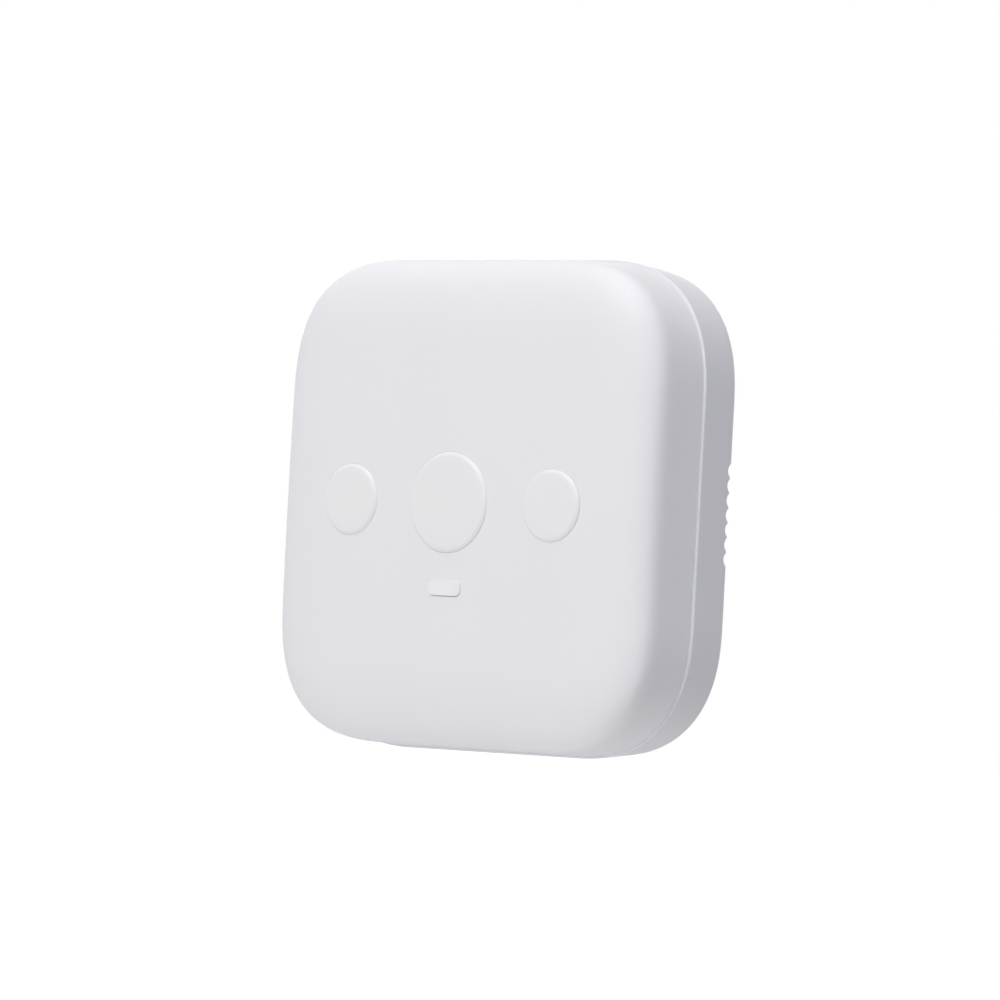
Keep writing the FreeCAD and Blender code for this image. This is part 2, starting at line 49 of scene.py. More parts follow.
# The camera stands where the photograph was taken from: to the right of the remote, a little
# below its middle and far off, with a long lens, and it is held slightly tilted.
mm = 0.001
view_turn = math.radians(40.419)
view_rise = math.radians(-1.474)
view_roll = math.radians(3.101)
view_distance = 1.0553
view_centre = Vector((0.000346, -0.012905, 0.00089))
view_lens = 235.1
sensor_width = 36
away = Vector((math.sin(view_turn) * math.cos(view_rise),
               -math.cos(view_turn) * math.cos(view_rise),
               math.sin(view_rise)))
right = Vector((math.cos(view_turn), math.sin(view_turn), 0))
up = away.cross(right)
camera_data = bpy.data.cameras.new("camera")
camera_data.sensor_width = sensor_width
camera_data.lens = view_lens
camera = bpy.data.objects.new("camera", camera_data)
bpy.context.scene.collection.objects.link(camera)
turned_right = right * math.cos(view_roll) + up * math.sin(view_roll)
turned_up = up * math.cos(view_roll) - right * math.sin(view_roll)
camera.matrix_world = Matrix.Translation(view_centre + away * view_distance) @ Matrix(
    (turned_right, turned_up, away)).transposed().to_4x4()
bpy.context.scene.camera = camera
bpy.context.scene.view_settings.view_transform = "Standard"


# The studio is a white room with six very broad soft lamps above, in front, behind, at the lower
# left and, very weak, on the right, and a little light from all round. The rear lamp gives no
# gloss, which would streak the edge of the case.
room_light = 0.06
broad = math.radians(60)
world = bpy.data.worlds.new("white_room")
bpy.context.scene.world = world
world.use_nodes = True
nodes, links = world.node_tree.nodes, world.node_tree.links
background = nodes["Background"]
background.inputs["Color"].default_value = (1, 1, 1, 1)
path = nodes.new("ShaderNodeLightPath")
seen = path.outputs["Is Camera Ray"]
for ray in ("Is Glossy Ray", "Is Transmission Ray"):
    either = nodes.new("ShaderNodeMath")
    either.operation = "MAXIMUM"
    links.new(seen, either.inputs[0])
    links.new(path.outputs[ray], either.inputs[1])
    seen = either.outputs[0]
level = nodes.new("ShaderNodeMapRange")
level.inputs["To Min"].default_value = room_light
links.new(seen, level.inputs["Value"])
links.new(level.outputs["Result"], background.inputs["Strength"])


def lamp(name, direction, strength, spread, colour=(1, 1, 1)):
    """Far soft lamp that shines from a direction."""
    data = bpy.data.lights.new(name, "SUN")
    data.energy = strength
    data.angle = spread
    data.color = colour
    shining = bpy.data.objects.new(name, data)
    shining.rotation_euler = direction.to_track_quat("Z", "Y").to_euler()
    bpy.context.scene.collection.objects.link(shining)
    return shining


lamp("key_lamp", Vector((0, -0.65, 0.76)), 1.3, math.radians(36))
lamp("front_lamp", Vector((0, -1, 0.1)), 0.8, broad)
lamp("low_lamp", Vector((-0.55, -0.7, -0.5)), 0.7, broad)
lamp("top_lamp", Vector((0.2, 0, 1)), 1.3, broad)
lamp("side_lamp", Vector((1, -0.3, 0.6)), 0.17, broad, (0.58, 0.66, 1.0))
lamp("rear_lamp", Vector((-0.5, 0.87, 0.1)), 1.2, math.radians(30)).visible_glossy = False


# The floor is a plain pale sheet well below the remote, so that its door has room to slide out.
# It takes the remote's shadow and casts none, so that the low lamp reaches the remote.
floor_height = -0.10
floor_size = 4.0
floor_tone = 0.72
floor_lift = 0.55
bm = bmesh.new()
bmesh.ops.create_grid(bm, x_segments=1, y_segments=1, size=floor_size)
bmesh.ops.translate(bm, verts=bm.verts, vec=(0, 0, floor_height))
mesh = bpy.data.meshes.new("floor")
bm.to_mesh(mesh)
bm.free()
floor = bpy.data.objects.new("floor", mesh)
floor.visible_shadow = False
bpy.context.scene.collection.objects.link(floor)
pale = bpy.data.materials.new("pale_floor")
pale.use_nodes = True
nodes, links = pale.node_tree.nodes, pale.node_tree.links
nodes.remove(nodes["Principled BSDF"])
sheet = nodes.new("ShaderNodeBsdfDiffuse")
sheet.inputs["Color"].default_value = (floor_tone, floor_tone, floor_tone, 1)
glow = nodes.new("ShaderNodeEmission")
path = nodes.new("ShaderNodeLightPath")
top_up = nodes.new("ShaderNodeMath")
top_up.operation = "MULTIPLY"
top_up.inputs[1].default_value = floor_lift
links.new(path.outputs["Is Camera Ray"], top_up.inputs[0])
links.new(top_up.outputs[0], glow.inputs["Strength"])
both = nodes.new("ShaderNodeAddShader")
links.new(sheet.outputs[0], both.inputs[0])
links.new(glow.outputs[0], both.inputs[1])
links.new(both.outputs[0], nodes["Material Output"].inputs["Surface"])
mesh.materials.append(pale)


# The rear shell is injection moulded in white ABS with a fine matt grain. It has a soft square
# outline, a proud ledge and a lip at the seam, seven finger scoops on either side edge, the
# battery tray with its door seat, and four screw wells.
half_size = 40.0 * mm
corner_span = 22.5 * mm
corner_power = 2.44
rear_depth = 10.8 * mm
rear_draft = math.tan(math.radians(5.3))
rear_edge_radius = 4.0 * mm
rear_flat_margin = 0.6 * mm
ledge = 0.45 * mm
ledge_edge = 0.3 * mm
lip_top = 12.4 * mm
lip_outer = 1.35 * mm
lip_wall = 0.75 * mm
lip_chamfer = 0.15 * mm
floor_inside = 3.1 * mm
scoop_count = 7
scoop_pitch = 2.35 * mm
scoop_radius = 1.36 * mm
scoop_depth = 0.36 * mm
scoop_softness = 0.06 * mm
least_press = 0.001 * mm
scoop_reach = 8.6 * mm
scoop_step = 0.15 * mm
outline_step = 1.2 * mm
inner_root = 2.0 * mm
door_side = 26.45 * mm
door_top = 3.6 * mm
door_seat = 1.9 * mm
groove_side = 27.1 * mm
groove_top = 4.25 * mm
groove_low = 0.9 * mm
tray_side = 24.7 * mm
tray_low = -33.85 * mm
tray_high = -0.95 * mm
tray_wall = 1.2 * mm
tray_inside = 13.0 * mm
tray_back = 14.0 * mm
rib_length = 34.5 * mm
rib_half = 0.5 * mm
rib_height = 1.6 * mm
rib_root = 0.5 * mm
rib_places = (-11.95 * mm, -22.85 * mm)
screw_place = 30.0 * mm
screw_places = [(x, z) for x in (-screw_place, screw_place) for z in (-screw_place, screw_place)]
screw_well_radius = 2.1 * mm
screw_well_depth = 8.0 * mm
screw_well_rim = 0.25 * mm
screw_boss_radius = 3.0 * mm
screw_boss_depth = 14.95 * mm
screw_hole_radius = 1.3 * mm
past = 5.0 * mm
below_case = -60.0 * mm
weld = 1e-7


def case_outline():
    """Fine points and outward directions round the outline, from the middle of the right side."""
    core = half_size - corner_span
    steps = 240
    quarter = [(half_size, 0.0, 1.0, 0.0)]
    for i in range(steps + 1):
        angle = i / steps * math.pi / 2
        x = math.cos(angle) ** (2 / corner_power) if i < steps else 0.0
        z = math.sin(angle) ** (2 / corner_power) if i else 0.0
        out_x, out_z = x ** (corner_power - 1), z ** (corner_power - 1)
        length = math.hypot(out_x, out_z)
        quarter.append((core + corner_span * x, core + corner_span * z,
                        out_x / length, out_z / length))
    points = []
    for turn in range(4):
        for x, z, out_x, out_z in quarter:
            for _ in range(turn):
                x, z, out_x, out_z = -z, x, -out_z, out_x
            points.append((x, z, out_x, out_z))
    points.append(points[0])
    return points


def along(points, distances):
    """Values of a finely stepped line at these distances along it."""
    reached = [0.0]
    for a, b in zip(points, points[1:]):
        reached.append(reached[-1] + math.hypot(b[0] - a[0], b[1] - a[1]))
    found = []
    i = 0
    for distance in distances:
        distance = min(max(distance, 0.0), reached[-1])
        while i < len(points) - 2 and reached[i + 1] < distance:
            i += 1
        step = reached[i + 1] - reached[i]
        share = (distance - reached[i]) / step if step > 0 else 0.0
        found.append(tuple(p + (q - p) * share for p, q in zip(points[i], points[i + 1])))
    return found


def line_length(points):
    """Length of a stepped line."""
    return sum(math.hypot(b[0] - a[0], b[1] - a[1]) for a, b in zip(points, points[1:]))


def spread(low, high, step):
    """Even distances from low up to just short of high."""
    count = max(1, round((high - low) / step))
    return [low + (high - low) * i / count for i in range(count)]


def new_piece(name, bm):
    """Object at the origin that holds this mesh."""
    mesh = bpy.data.meshes.new(name)
    bm.to_mesh(mesh)
    bm.free()
    piece = bpy.data.objects.new(name, mesh)
    bpy.context.scene.collection.objects.link(piece)
    return piece


def skin_round(name, outline, section):
    """Closed skin through rings round the outline. A ring is an inset, a scale towards the middle,
    a depth, which can also be a function of the place, and a share of the inset that it loses at
    the corners."""
    bm = bmesh.new()
    around, rows = len(outline), len(section) - 1
    bmesh.ops.create_grid(bm, x_segments=around, y_segments=rows, size=0.5)
    for vert in bm.verts:
        i = round((vert.co.x + 0.5) * around) % around
        x, z, out_x, out_z = outline[i]
        ring = section[round((vert.co.y + 0.5) * rows)]
        inset, scale, depth, pull = (*ring, 0.0)[:4]
        inset *= 1 - pull * (2 * out_x * out_z) ** 2
        x, z = (x - out_x * inset) * scale, (z - out_z * inset) * scale
        if callable(depth):
            depth = depth(x, z)
        vert.co = (x, -depth, z)
    bmesh.ops.remove_doubles(bm, verts=bm.verts, dist=weld)
    bmesh.ops.recalc_face_normals(bm, faces=bm.faces)
    return new_piece(name, bm)


def block(name, x_low, x_high, depth_low, depth_high, z_low, z_high, edge=0.0):
    """Box between two places along X, two depths and two heights, with rounded edges."""
    bm = bmesh.new()
    bmesh.ops.create_cube(bm, size=1.0)
    size = (x_high - x_low, depth_high - depth_low, z_high - z_low)
    bmesh.ops.scale(bm, verts=bm.verts, vec=size)
    middle = ((x_low + x_high) / 2, -(depth_low + depth_high) / 2, (z_low + z_high) / 2)
    bmesh.ops.translate(bm, verts=bm.verts, vec=middle)
    if edge:
        bmesh.ops.bevel(bm, geom=bm.edges, offset=edge, segments=4, profile=0.5, affect="EDGES",
                        material=-1)
    return new_piece(name, bm)


def turned(name, x, z, profile, steps=64):
    """Round solid about an axis along the depth, from a profile of radius and depth."""
    bm = bmesh.new()
    verts = [bm.verts.new((radius, -depth, 0)) for radius, depth in profile]
    edges = [bm.edges.new(pair) for pair in zip(verts, verts[1:])]
    bmesh.ops.spin(bm, geom=verts + edges, cent=(0, 0, 0), axis=(0, 1, 0), angle=math.tau,
                   steps=steps, use_merge=True)
    bmesh.ops.remove_doubles(bm, verts=bm.verts, dist=weld)
    bmesh.ops.recalc_face_normals(bm, faces=bm.faces)
    bmesh.ops.translate(bm, verts=bm.verts, vec=(x, 0, z))
    return new_piece(name, bm)


def rod(name, x, z, radius, depth_low, depth_high, steps=64):
    """Plain round rod along the depth."""
    return turned(name, x, z, [(0, depth_low), (radius, depth_low), (radius, depth_high),
                               (0, depth_high)], steps)


def carve(piece, tools, operation="DIFFERENCE"):
    """Takes the tools out of a piece, adds them or keeps what they share, and uses them up."""
    for tool in tools:
        step = piece.modifiers.new("carve", "BOOLEAN")
        step.operation = operation
        step.solver = "EXACT"
        step.object = tool
    bpy.context.view_layer.update()
    finished = piece.evaluated_get(bpy.context.evaluated_depsgraph_get())
    carved = bpy.data.meshes.new_from_object(finished)
    piece.modifiers.clear()
    piece.data = carved
    carved.name = piece.name
    for tool in tools:
        bpy.data.objects.remove(tool)


def dress(piece, material, body, slot, *nodes):
    """Shades a finished piece, gives it its material, hangs it on its body and hides the frame's
    solids that it replaces.
    """
    mesh = piece.data
    if material:
        mesh.materials.clear()
        mesh.materials.append(material)
    mesh.shade_smooth()
    mesh.set_sharp_from_angle(angle=math.radians(40))
    even = piece.modifiers.new("even_normals", "WEIGHTED_NORMAL")
    even.keep_sharp = True
    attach(piece, body)
    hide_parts(*nodes)


def new_finish(name):
    """Fresh material with its nodes, its links, its shader and the place on the piece."""
    material = bpy.data.materials.new(name)
    material.use_nodes = True
    nodes, links = material.node_tree.nodes, material.node_tree.links
    place = nodes.new("ShaderNodeTexCoord").outputs["Object"]
    return material, nodes, links, nodes["Principled BSDF"], place


def clouds(nodes, links, place, scale, detail=2.0):
    """Soft random pattern, so many to the metre."""
    noise = nodes.new("ShaderNodeTexNoise")
    noise.inputs["Scale"].default_value = scale
    noise.inputs["Detail"].default_value = detail
    links.new(place, noise.inputs["Vector"])
    return noise.outputs["Fac"]


def ranged(nodes, links, value, low, high, start=0.0, end=1.0):
    """Value brought from the range between start and end to the one between low and high."""
    step = nodes.new("ShaderNodeMapRange")
    for key, number in (("From Min", start), ("From Max", end), ("To Min", low), ("To Max", high)):
        step.inputs[key].default_value = number
    links.new(value, step.inputs["Value"])
    return step.outputs["Result"]


def blended(nodes, links, share, first, second):
    """Colour that goes from the first to the second with the share. Either may come from a node."""
    mix = nodes.new("ShaderNodeMix")
    mix.data_type = "RGBA"
    links.new(share, mix.inputs["Factor"])
    for key, colour in (("A", first), ("B", second)):
        if isinstance(colour, tuple):
            mix.inputs[key].default_value = (*colour, 1)
        else:
            links.new(colour, mix.inputs[key])
    return mix.outputs["Result"]


def toned(colour, change):
    """Colour made a little darker or lighter."""
    return tuple(min(1.0, c * change) for c in colour)


def moulded_plastic(name, colour, roughness, grain):
    """Moulded plastic with a fine eroded grain, and slow changes in tone and sheen."""
    material, nodes, links, shader, place = new_finish(name)
    bump = nodes.new("ShaderNodeBump")
    bump.inputs["Strength"].default_value = grain
    bump.inputs["Distance"].default_value = 0.03 * mm
    links.new(clouds(nodes, links, place, 3500.0, 3.0), bump.inputs["Height"])
    links.new(bump.outputs["Normal"], shader.inputs["Normal"])
    flow = clouds(nodes, links, place, 45.0)
    sheen = ranged(nodes, links, flow, roughness - 0.04, roughness + 0.04, 0.3, 0.7)
    links.new(sheen, shader.inputs["Roughness"])
    tone = blended(nodes, links, flow, toned(colour, 0.99), toned(colour, 1.01))
    links.new(tone, shader.inputs["Base Color"])
    shader.inputs["Specular IOR Level"].default_value = 0.35
    return material


def rear_section():
    """Rings of the rear form from the middle of its outside to the ledge."""
    flat_inset = rear_depth * rear_draft + rear_edge_radius * (
        math.sqrt(1 + rear_draft ** 2) - rear_draft)
    rings = [(flat_inset + rear_flat_margin, i / 12, 0.0) for i in range(13)]
    end = math.pi / 2 - math.atan(rear_draft)
    for i in range(29):
        angle = i / 28 * end
        inset = flat_inset - rear_edge_radius * math.sin(angle)
        rings.append((inset, 1.0, rear_edge_radius * (1 - math.cos(angle))))
    first = rings[-1][2]
    last = rear_depth - ledge_edge
    for i in range(1, 6):
        depth = first + (last - first) * i / 5
        rings.append(((rear_depth - depth) * rear_draft, 1.0, depth))
    for i in range(1, 5):
        angle = i / 4 * math.pi / 2
        rings.append((ledge_edge * (1 - math.cos(angle)), 1.0,
                      last + ledge_edge * math.sin(angle)))
    return rings


def press_scoops(piece):
    """Presses the finger scoops into the rounded rear edge on both sides."""
    core = half_size - rear_depth * rear_draft - rear_edge_radius
    axis = rear_edge_radius + scoop_radius - scoop_depth
    slant = math.sqrt(0.5)
    last = scoop_count // 2
    for vert in piece.data.vertices:
        side = 1 if vert.co.x > 0 else -1
        x, depth = abs(vert.co.x) - core, rear_edge_radius + vert.co.y
        nearest = min(max(round(vert.co.z / scoop_pitch), -last), last)
        off = vert.co.z - nearest * scoop_pitch
        if min(x, depth) < -rear_edge_radius or abs(off) > scoop_pitch / 2:
            continue
        reach = (x + depth) * slant
        excess = reach - (axis - math.sqrt(scoop_radius ** 2 - off ** 2))
        push = (excess + math.sqrt(excess ** 2 + scoop_softness ** 2)) / 2
        if push > least_press:
            vert.co.x -= side * push * slant
            vert.co.y -= push * slant


fine_outline = case_outline()
way_round = line_length(fine_outline)
opposite = way_round / 2
rear_outline = along(fine_outline, spread(0, scoop_reach, scoop_step)
                     + spread(scoop_reach, opposite - scoop_reach, outline_step)
                     + spread(opposite - scoop_reach, opposite + scoop_reach, scoop_step)
                     + spread(opposite + scoop_reach, way_round - scoop_reach, outline_step)
                     + spread(way_round - scoop_reach, way_round, scoop_step))
lip_inner = lip_outer + lip_wall
rear_inside = [
    (ledge + ledge_edge, 1.0, rear_depth),
    (lip_outer, 1.0, rear_depth),
    (lip_outer, 1.0, lip_top - lip_chamfer),
    (lip_outer + lip_chamfer, 1.0, lip_top),
    (lip_inner - lip_chamfer, 1.0, lip_top),
    (lip_inner, 1.0, lip_top - lip_chamfer),
    (lip_inner, 1.0, 9.2 * mm),
    (2.5 * mm, 1.0, 9.0 * mm),
    (2.8 * mm, 1.0, 6.0 * mm),
    (4.0 * mm, 1.0, 4.0 * mm),
    (6.0 * mm, 1.0, floor_inside),
    (8.0 * mm, 0.6, floor_inside),
    (8.0 * mm, 0.0, floor_inside),
]
# Its white is a shade greyer than the front shell's. This is painted shade for the dimmer rear of
# the case.
rear_plastic_painted_shade = moulded_plastic("rear_shell_painted_shade", (0.82, 0.816, 0.856), 0.5, 0.25)
rear_shell = skin_round("rear_shell", rear_outline, rear_section() + rear_inside)
press_scoops(rear_shell)
additions = [block("tray", -tray_side - tray_wall, tray_side + tray_wall, inner_root, tray_back,
                   tray_low - tray_wall, tray_high + tray_wall)]
for x, z in screw_places:
    additions.append(rod("boss", x, z, screw_boss_radius, inner_root, screw_boss_depth))
carve(rear_shell, additions, "UNION")
cuts = [
    block("pocket", -door_side, door_side, -past, door_seat, below_case, door_top),
    block("groove", -groove_side, groove_side, groove_low, door_seat, below_case, groove_top),
    block("bay", -tray_side, tray_side, -past, tray_inside, tray_low, tray_high),
]
for x, z in screw_places:
    profile = [(0, -past), (screw_well_radius + screw_well_rim, -past)]
    for i in range(6):
        angle = math.pi / 2 * (1 - i / 5)
        profile.append((screw_well_radius + screw_well_rim * (1 - math.cos(angle)),
                        screw_well_rim * (1 - math.sin(angle))))
    profile += [(screw_well_radius, screw_well_depth), (screw_hole_radius, screw_well_depth),
                (screw_hole_radius, screw_boss_depth + past), (0, screw_boss_depth + past)]
    cuts.append(turned("well", x, z, profile))
carve(rear_shell, cuts)
ribs = [block("rib", -rib_length / 2, rib_length / 2, tray_inside - rib_height,
              tray_inside + rib_root, z - rib_half, z + rib_half) for z in rib_places]
carve(rear_shell, ribs, "UNION")
dress(rear_shell, rear_plastic_painted_shade, "case", "shell_plastic", "rear_housing")


# The front shell is moulded in a white plastic of the same kind, 2 mm thick. Its face is a shallow
# dome that rolls over a broad soft edge into the drafted sides. It fits over the lip of the rear
# shell, and guide rings and screw posts stand behind its three round holes and its slot.
case_depth = 25.2 * mm
front_draft = math.tan(math.radians(1.8))
crown_radius = 650.0 * mm
edge_inset = 15.0 * mm
edge_drop = 7.45 * mm
edge_power = 2.98
corner_pull = 0.18
front_step = 0.9 * mm
wall = 2.0 * mm
rebate_inset = 1.25 * mm
rebate_depth = 12.5 * mm
seam_edge = 0.05 * mm
hole_rim = 0.03 * mm
button_clearance = 0.02 * mm
flange_width = 1.0 * mm
guide_clearance = 0.2 * mm
guide_wall = 0.9 * mm
guide_height = 2.2 * mm
keyway_width = 2.2 * mm
board_front = 16.2 * mm
front_boss_radius = 2.75 * mm
board_boss_radius = 2.2 * mm
board_screw_places = [(-31.5 * mm, -10.0 * mm), (31.5 * mm, -10.0 * mm)]
pilot_radius = 1.12 * mm
pilot_end = 20.0 * mm
button_row = -0.15 * mm
button_pitch = 21.15 * mm
buttons = [("left", -button_pitch, 5.8 * mm), ("centre", 0.0, 8.12 * mm),
           ("right", button_pitch, 5.8 * mm)]
window_height = -13.9 * mm
window_width = 6.9 * mm
window_tall = 2.55 * mm
window_corner = 1.0 * mm
window_gap = 0.07 * mm


def sag(x, z, skin=0.0):
    """How far the domed face has fallen back at a place."""
    radius = crown_radius - skin
    return radius - math.sqrt(radius ** 2 - x ** 2 - z ** 2)


def soft_edge(inset, drop, power, count):
    """Evenly spaced points of the superelliptic edge, from the face to the side: inset and drop."""
    fine = []
    steps = 400
    for i in range(steps + 1):
        angle = math.pi / 2 * i / steps
        across = math.sin(angle) ** (2 / power) if i else 0.0
        down = math.cos(angle) ** (2 / power) if i < steps else 0.0
        fine.append((inset * (1 - across), drop * (1 - down)))
    length = line_length(fine)
    return along(fine, [length * i / count for i in range(count + 1)])


def front_rings(skin, count, last_depth):
    """Rings of the front form from the middle of its face down to a depth, this far inside."""
    def side_inset(depth):
        return ledge + skin + (depth - rear_depth) * front_draft

    profile = soft_edge(edge_inset - skin, edge_drop - skin, edge_power, count)
    apex = case_depth - skin
    face_inset = side_inset(apex) + profile[0][0]
    rings = []
    for i in range(22):
        rings.append((face_inset, i / 22, lambda x, z: apex - sag(x, z, skin), corner_pull))
    for inset, drop in profile:
        share = 1 - drop / (edge_drop - skin)
        depth = apex - drop
        rings.append((
            side_inset(depth) + inset, 1.0,
            lambda x, z, depth=depth, share=share: depth - sag(x, z, skin) * share, corner_pull))
    start = apex - (edge_drop - skin)
    for i in range(1, 4):
        depth = start + (last_depth - start) * i / 3
        rings.append((side_inset(depth), 1.0, depth))
    return rings


def drop_to_face(piece):
    """Lowers a piece made for a flat face on to the dome."""
    for vert in piece.data.vertices:
        vert.co.y += sag(vert.co.x, vert.co.z)


def gathered(name, pieces):
    """One piece made of several."""
    bm = bmesh.new()
    for piece in pieces:
        bm.from_mesh(piece.data)
        bpy.data.objects.remove(piece)
    return new_piece(name, bm)


def pill(name, wide, tall, centre, depth_low, depth_high, rim):
    """Rounded bar along the depth, its front edge rounded in."""
    bm = bmesh.new()
    bmesh.ops.create_cube(bm, size=1.0)
    bmesh.ops.scale(bm, verts=bm.verts, vec=(wide, depth_high - depth_low, tall))
    bmesh.ops.translate(bm, verts=bm.verts, vec=(0, -(depth_low + depth_high) / 2, centre))
    upright = [e for e in bm.edges if abs((e.verts[0].co - e.verts[1].co).y) > 10 * weld]
    bmesh.ops.bevel(bm, geom=upright, offset=window_corner, segments=10, profile=0.5,
                    affect="EDGES", material=-1)
    if rim:
        front = [e for e in bm.edges if all(v.co.y < weld - depth_high for v in e.verts)]
        bmesh.ops.bevel(bm, geom=front, offset=rim, segments=4, profile=0.5,
                        affect="EDGES", material=-1)
    return new_piece(name, bm)


front_outer = front_rings(0.0, 44, rear_depth + seam_edge)
outer_inset = front_outer[-1][0]
seam_rings = [(outer_inset + seam_edge * (1 - math.cos(angle)), 1.0,
               rear_depth + seam_edge * (1 - math.sin(angle)))
              for angle in (math.pi / 8, math.pi / 4, 3 * math.pi / 8, math.pi / 2)]
front_inner = front_rings(wall, 12, rebate_depth)
front_section = front_outer + seam_rings + [
    (rebate_inset, 1.0, rear_depth), (rebate_inset, 1.0, rebate_depth)] + front_inner[::-1]
front_outline = along(fine_outline, spread(0, way_round, front_step))
front_shell = skin_round("front_shell", front_outline, front_section)
posts = []
for places, radius in ((screw_places, front_boss_radius), (board_screw_places, board_boss_radius)):
    for x, z in places:
        posts.append(rod("post", x, z, radius, board_front, case_depth))
for name, x, radius in buttons:
    inner = radius + flange_width + guide_clearance
    low = case_depth - wall - sag(x, button_row) - guide_height
    posts.append(turned("guide", x, button_row, [
        (inner, low), (inner + guide_wall, low), (inner + guide_wall, case_depth),
        (inner, case_depth), (inner, low)], steps=96))
inner_work = gathered("inner_work", posts)
middle_rings = front_rings(wall / 2, 12, rear_depth) + [(rebate_inset, 0.0, rear_depth)]
carve(inner_work, [skin_round("middle_skin", front_outline, middle_rings)], "INTERSECT")
carve(front_shell, [inner_work], "UNION")
cuts = []
for name, x, radius in buttons:
    hole = radius + button_clearance
    profile = [(0, rear_depth), (hole, rear_depth)]
    for i in range(6):
        angle = math.radians(80) * i / 5
        profile.append((hole + hole_rim * (1 - math.cos(angle)),
                        case_depth - hole_rim * (1 - math.sin(angle))))
    profile += [(profile[-1][0], case_depth + past), (0, case_depth + past)]
    tool = turned("hole", x, button_row, profile, steps=128)
    drop_to_face(tool)
    cuts.append(tool)
    slot_low = button_row - radius - flange_width - 2 * guide_clearance - guide_wall
    cuts.append(block("keyway", x - keyway_width / 2, x + keyway_width / 2, rear_depth,
                      case_depth - wall - sag(x, slot_low), slot_low, button_row - radius))
for x, z in screw_places + board_screw_places:
    cuts.append(rod("pilot", x, z, pilot_radius, rear_depth, pilot_end, steps=32))
cuts.append(pill("slot", window_width, window_tall + window_gap, window_height - window_gap / 2,
                 rear_depth, case_depth + past, 0))
carve(front_shell, cuts)
white_shell = moulded_plastic("white_shell_plastic", (0.86, 0.856, 0.885), 0.5, 0.25)
dress(front_shell, white_shell, "case", "shell_plastic", "front_cover")


# The buttons are three loose caps in smooth white plastic, a shade more neutral than the shell.
# Each has a rounded rim, a retaining flange behind the face, a key that stops it from turning,
# and a stem on webs that rests on its switch, which springs it back.
button_proud = 0.4 * mm
button_edge = 1.0 * mm
button_edge_turn = math.radians(53)
cap_wall = 1.1 * mm
cap_thickness = 1.3 * mm
flange_thickness = 1.0 * mm
flange_gap = 0.05 * mm
stem_radius = 1.3 * mm
stem_stub = 1.0 * mm
stem_web = 0.9 * mm
web_overlap = 0.2 * mm
key_width = 1.8 * mm
key_reach = 0.7 * mm
plunger_top = 20.5 * mm
cap_white = moulded_plastic("button_plastic", (0.872, 0.87, 0.876), 0.32, 0.08)
for name, x, radius in buttons:
    top = case_depth + button_proud
    back = case_depth - wall - flange_gap
    hollow = top - cap_thickness
    shoulder = radius - button_edge * math.sin(button_edge_turn)
    profile = [(shoulder * i / 6, top) for i in range(7)]
    for i in range(1, 9):
        angle = button_edge_turn * i / 8
        profile.append((shoulder + button_edge * math.sin(angle),
                        top - button_edge * (1 - math.cos(angle))))
    profile += [
        (radius, back), (radius + flange_width, back),
        (radius + flange_width, back - flange_thickness),
        (radius - cap_wall, back - flange_thickness),
        (radius - cap_wall, hollow), (stem_radius, hollow),
        (stem_radius, hollow - stem_stub), (0, hollow - stem_stub)]
    cap = turned("cap_" + name, x, button_row, profile, steps=96)
    drop_to_face(cap)
    for vert in cap.data.vertices:
        from_axis = math.hypot(vert.co.x - x, vert.co.z - button_row)
        if from_axis < stem_radius + 10 * weld and vert.co.y > stem_stub / 2 - hollow:
            vert.co.y = -plunger_top
    fall = sag(x, button_row)
    flange_low = back - flange_thickness - fall
    web = radius - cap_wall / 2
    web_top = hollow - fall + web_overlap
    key_low = button_row - radius - flange_width - key_reach
    carve(cap, [
        block("web", x - web, x + web, flange_low, web_top,
              button_row - stem_web / 2, button_row + stem_web / 2),
        block("web", x - stem_web / 2, x + stem_web / 2, flange_low, web_top,
              button_row - web, button_row + web),
        block("key", x - key_width / 2, x + key_width / 2,
              flange_low, back - sag(x, key_low) - flange_gap,
              key_low, button_row - radius + cap_wall / 2)], "UNION")
    dress(cap, cap_white, "button_" + name, "button_plastic", "button_" + name)


# The indicator window is the raised tip of a milky moulded light pipe, put into the face from
# behind up to its flange, that carries the light of the status lamp.
pipe_foot = 18.4 * mm
pipe_flange = 0.8 * mm
window_proud = 0.26 * mm
window_edge = 0.25 * mm
milky = moulded_plastic("window_plastic", (0.93, 0.93, 0.935), 0.3, 0.05)
shader = milky.node_tree.nodes["Principled BSDF"]
shader.inputs["Subsurface Weight"].default_value = 1.0
shader.inputs["Subsurface Radius"].default_value = (1, 1, 1)
shader.inputs["Subsurface Scale"].default_value = 0.8 * mm
window = pill("indicator_window", window_width, window_tall, window_height, pipe_foot,
              case_depth + window_proud, window_edge)
flange_high = case_depth - wall - flange_gap
flange = pill("flange", window_width + 2 * pipe_flange, window_tall + 2 * pipe_flange,
              window_height, flange_high - pipe_flange, flange_high, 0)
carve(window, [flange], "UNION")
drop_to_face(window)
dress(window, milky, "case", "window_plastic", "indicator_light_pipe")


# The battery door is a thin moulded plate that lies flush in the rear face and slides down and
# off on the tongue round three of its edges. A shallow dish with ridges takes the thumb.
plate_side = 26.3 * mm
plate_top = 3.45 * mm
plate_thickness = 1.8 * mm
tongue = 0.7 * mm
tongue_low = 1.0 * mm
tongue_end = -33.5 * mm
dish_width = 17.0 * mm
dish_depth = 0.6 * mm
dish_height = -15.0 * mm
ridge_count = 5
ridge_pitch = 2.2 * mm
ridge_half = 0.45 * mm
ridge_length = 9.0 * mm
ridge_edge = 0.2 * mm
door_outline = along(fine_outline, spread(0, way_round, outline_step))
door = skin_round("battery_door_plate", door_outline,
                  rear_section() + [(wall, 1.0, rear_depth), (wall, 0.0, rear_depth)])
carve(door, [block("plate", -plate_side, plate_side, -past, plate_thickness,
                   below_case, plate_top)], "INTERSECT")
carve(door, [block("tongue", -plate_side - tongue, plate_side + tongue, tongue_low,
                   plate_thickness, tongue_end, plate_top + tongue)], "UNION")
dish_radius = (dish_width ** 2 / 4 + dish_depth ** 2) / (2 * dish_depth)
